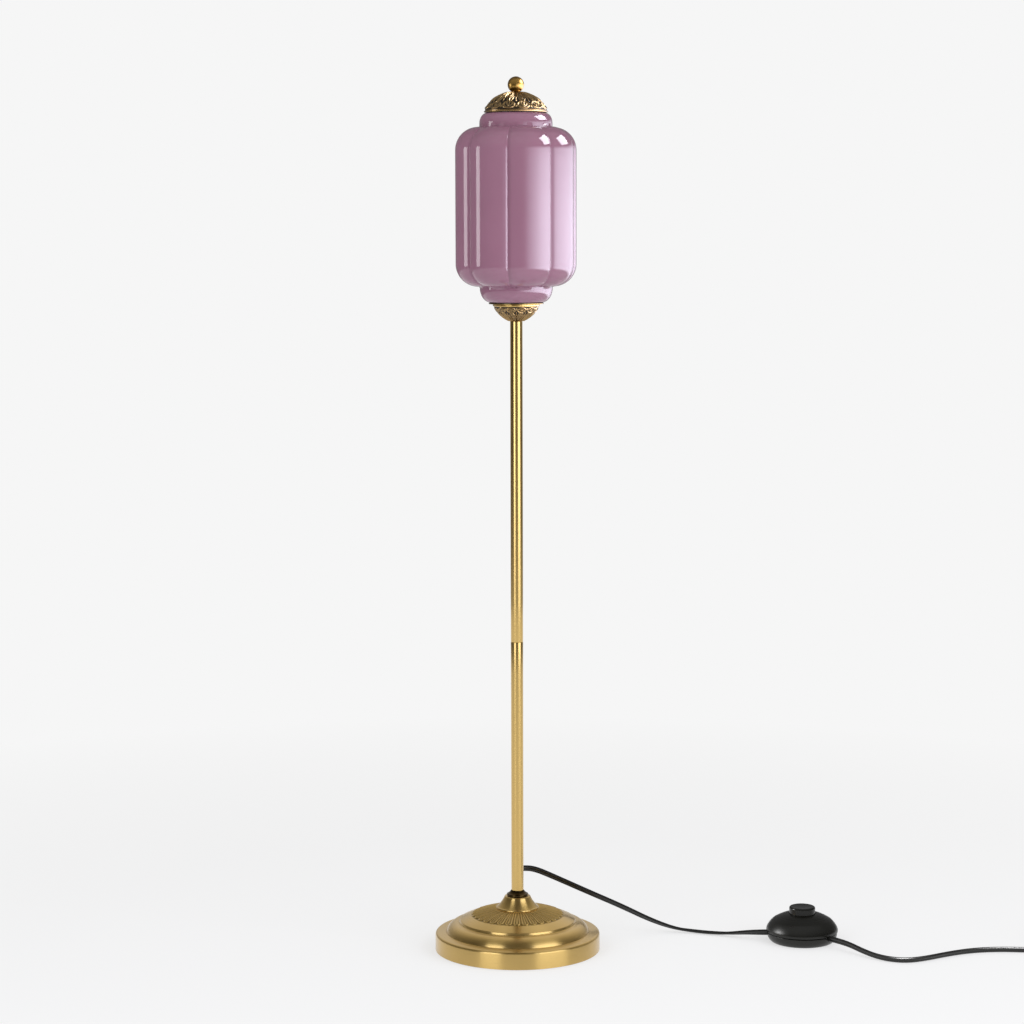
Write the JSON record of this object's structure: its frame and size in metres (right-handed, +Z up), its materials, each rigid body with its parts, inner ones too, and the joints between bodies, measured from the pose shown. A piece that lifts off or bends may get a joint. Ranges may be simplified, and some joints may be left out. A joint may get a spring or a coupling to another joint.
{
  "type": "glass floor lamp",
  "caption": "Slim brass floor lamp with a lobed mauve glass shade, embossed cap and cup, stepped round base, and flex with a round foot switch and plug.",
  "frame": {"origin": "on the floor under the middle of the round base", "axes": "+Z up along the pole, -Y towards the front, +X towards the foot switch"},
  "size_m": [0.9847, 0.25, 1.2102],
  "materials": {
    "satin_brass": "satin brushed and lacquered brass",
    "antique_brass": "antiqued cast brass, dark in the hollows",
    "dark_bronze": "dark bronzed metal",
    "cased_glass": "glossy mauve cased glass",
    "opal_glass": "frosted opal glass",
    "plated_steel": "zinc plated steel",
    "nickel_plate": "nickel plated brass",
    "plain_brass": "turned brass",
    "grey_iron": "painted cast iron",
    "felt": "pressed felt",
    "clear_gasket": "pale silicone rubber",
    "black_rubber": "black rubber",
    "black_flex": "black PVC flex",
    "black_plastic": "satin black moulded plastic",
    "tie_band": "black hook and loop band"
  },
  "bodies": {
    "root": {"base_shell": "satin_brass", "neck_cone": "satin_brass", "lower_pole": "satin_brass", "upper_pole": "satin_brass", "gallery_ring": "satin_brass", "lower_cup": "antique_brass", "neck_collar": "dark_bronze", "gallery_plate": "dark_bronze", "harp_frame": "plated_steel", "harp_saddle": "plated_steel", "finial_stud": "plated_steel", "base_nipple": "plated_steel", "top_nipple": "plated_steel", "base_nut": "plated_steel", "lock_nut": "plated_steel", "base_washer": "plated_steel", "switch_spring": "plated_steel", "switch_screws": "plated_steel", "plug_pins": "nickel_plate", "pole_coupling": "plain_brass", "pole_foot_bush": "plain_brass", "pole_top_bush": "plain_brass", "holder_sleeve": "plain_brass", "holder_contact": "plain_brass", "base_weight": "grey_iron", "base_pad": "felt", "shade_gasket": "clear_gasket", "cord_bushing": "black_rubber", "switch_feet": "black_rubber", "plug_relief": "black_rubber", "pole_flex": "black_flex", "cord_lamp_side": "black_flex", "cord_plug_side": "black_flex", "cord_plug_lead": "black_flex", "cord_coil": "black_flex", "lamp_holder": "black_plastic", "holder_insulator": "black_plastic", "switch_cover": "black_plastic", "switch_base": "black_plastic", "switch_block": "black_plastic", "plug_body": "black_plastic", "coil_tie": "tie_band"},
    "shade": {"glass_shade": "cased_glass"},
    "cap": {"top_cap": "antique_brass", "cap_gasket": "clear_gasket"},
    "finial": {"finial_ball": "satin_brass"},
    "bulb": {"bulb_cap": "nickel_plate", "bulb_glass": "opal_glass"},
    "button": {"switch_button": "black_plastic"}
  },
  "joints": [
    {"name": "shade_lift", "type": "slide", "parent": "root", "child": "shade", "axis": [0, 0, 1], "range_m": [0, 0.3]},
    {"name": "cap_lift", "type": "slide", "parent": "shade", "child": "cap", "axis": [0, 0, 1], "range_m": [0, 0.04]},
    {"name": "finial_unscrew", "type": "slide", "parent": "cap", "child": "finial", "axis": [0, 0, 1], "range_m": [0, 0.012]},
    {"name": "bulb_turn", "type": "hinge", "parent": "root", "child": "bulb", "pos_m": [0, 0, 0.95], "axis": [0, 0, 1], "continuous": true},
    {"name": "button_press", "type": "slide", "parent": "root", "child": "button", "axis": [0, 0, -1], "range_m": [0, 0.004], "stiffness_N_per_m": 600, "springref_m": -0.005, "deforming": ["switch_spring"]}
  ]
}
